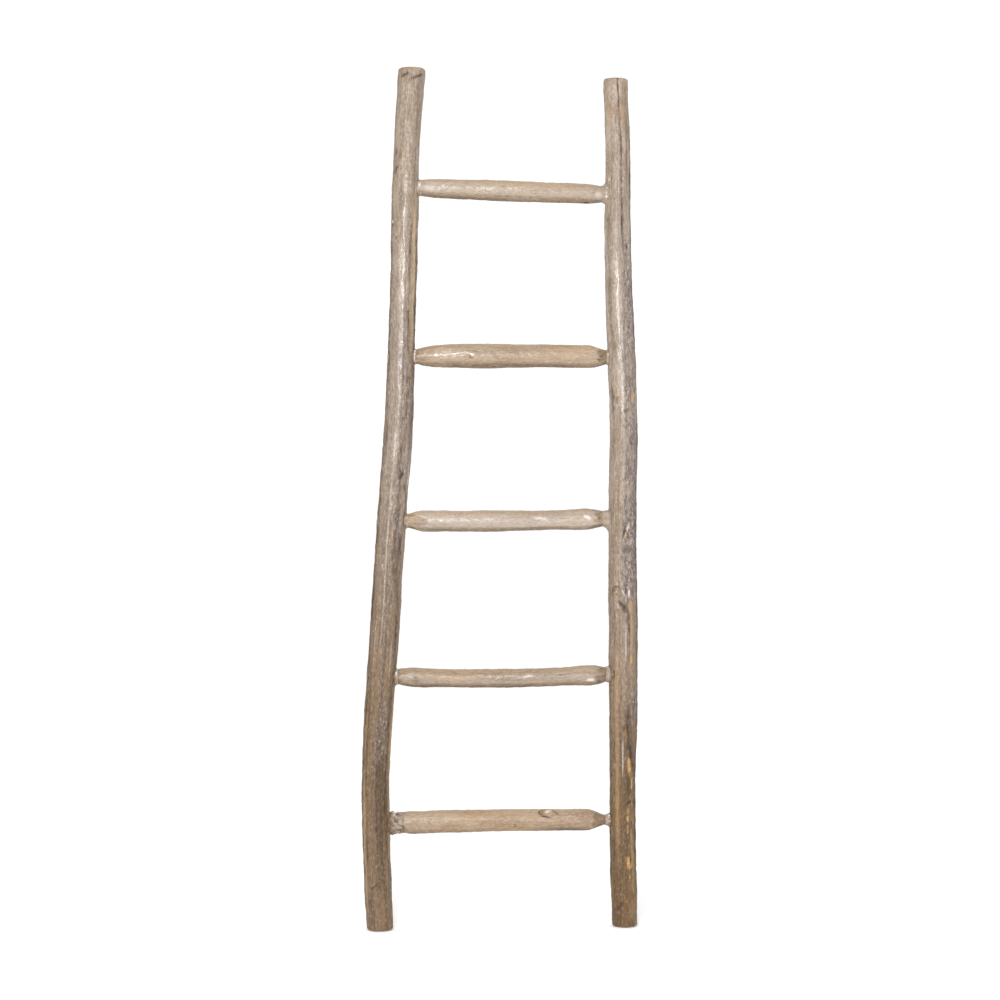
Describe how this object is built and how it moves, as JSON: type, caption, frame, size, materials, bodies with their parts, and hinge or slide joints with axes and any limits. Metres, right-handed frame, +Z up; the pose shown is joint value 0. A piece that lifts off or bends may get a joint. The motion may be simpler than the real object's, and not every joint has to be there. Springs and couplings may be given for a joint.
{
  "type": "decorative ladder",
  "caption": "Leaning ladder of peeled, whitewashed branches with tenoned, glued and screwed rungs, for hanging throws and towels.",
  "frame": {"origin": "on the floor, at the middle of the box round the ladder", "axes": "+Z up along the ladder, +X across to the viewer's right, -Y to the front"},
  "size_m": [0.4845, 0.0558, 1.5],
  "materials": {
    "rail_wood": "peeled branch, weathered and whitewashed",
    "rung_wood": "peeled branch, warm tan, thin whitewash",
    "joint_filler": "matte, smeared wood filler",
    "screw_steel": "zinc plated"
  },
  "bodies": {
    "root": {"left_rail": "rail_wood", "right_rail": "rail_wood", "rung_1": "rung_wood", "rung_2": "rung_wood", "rung_3": "rung_wood", "rung_4": "rung_wood", "rung_5": "rung_wood", "left_collar_1": "joint_filler", "left_screw_1": "screw_steel", "left_plug_1": "joint_filler", "left_collar_2": "joint_filler", "left_screw_2": "screw_steel", "left_plug_2": "joint_filler", "left_collar_3": "joint_filler", "left_screw_3": "screw_steel", "left_plug_3": "joint_filler", "left_collar_4": "joint_filler", "left_screw_4": "screw_steel", "left_plug_4": "joint_filler", "left_collar_5": "joint_filler", "left_screw_5": "screw_steel", "left_plug_5": "joint_filler", "right_collar_1": "joint_filler", "right_screw_1": "screw_steel", "right_plug_1": "joint_filler", "right_collar_2": "joint_filler", "right_screw_2": "screw_steel", "right_plug_2": "joint_filler", "right_collar_3": "joint_filler", "right_screw_3": "screw_steel", "right_plug_3": "joint_filler", "right_collar_4": "joint_filler", "right_screw_4": "screw_steel", "right_plug_4": "joint_filler", "right_collar_5": "joint_filler", "right_screw_5": "screw_steel", "right_plug_5": "joint_filler"}
  },
  "joints": []
}
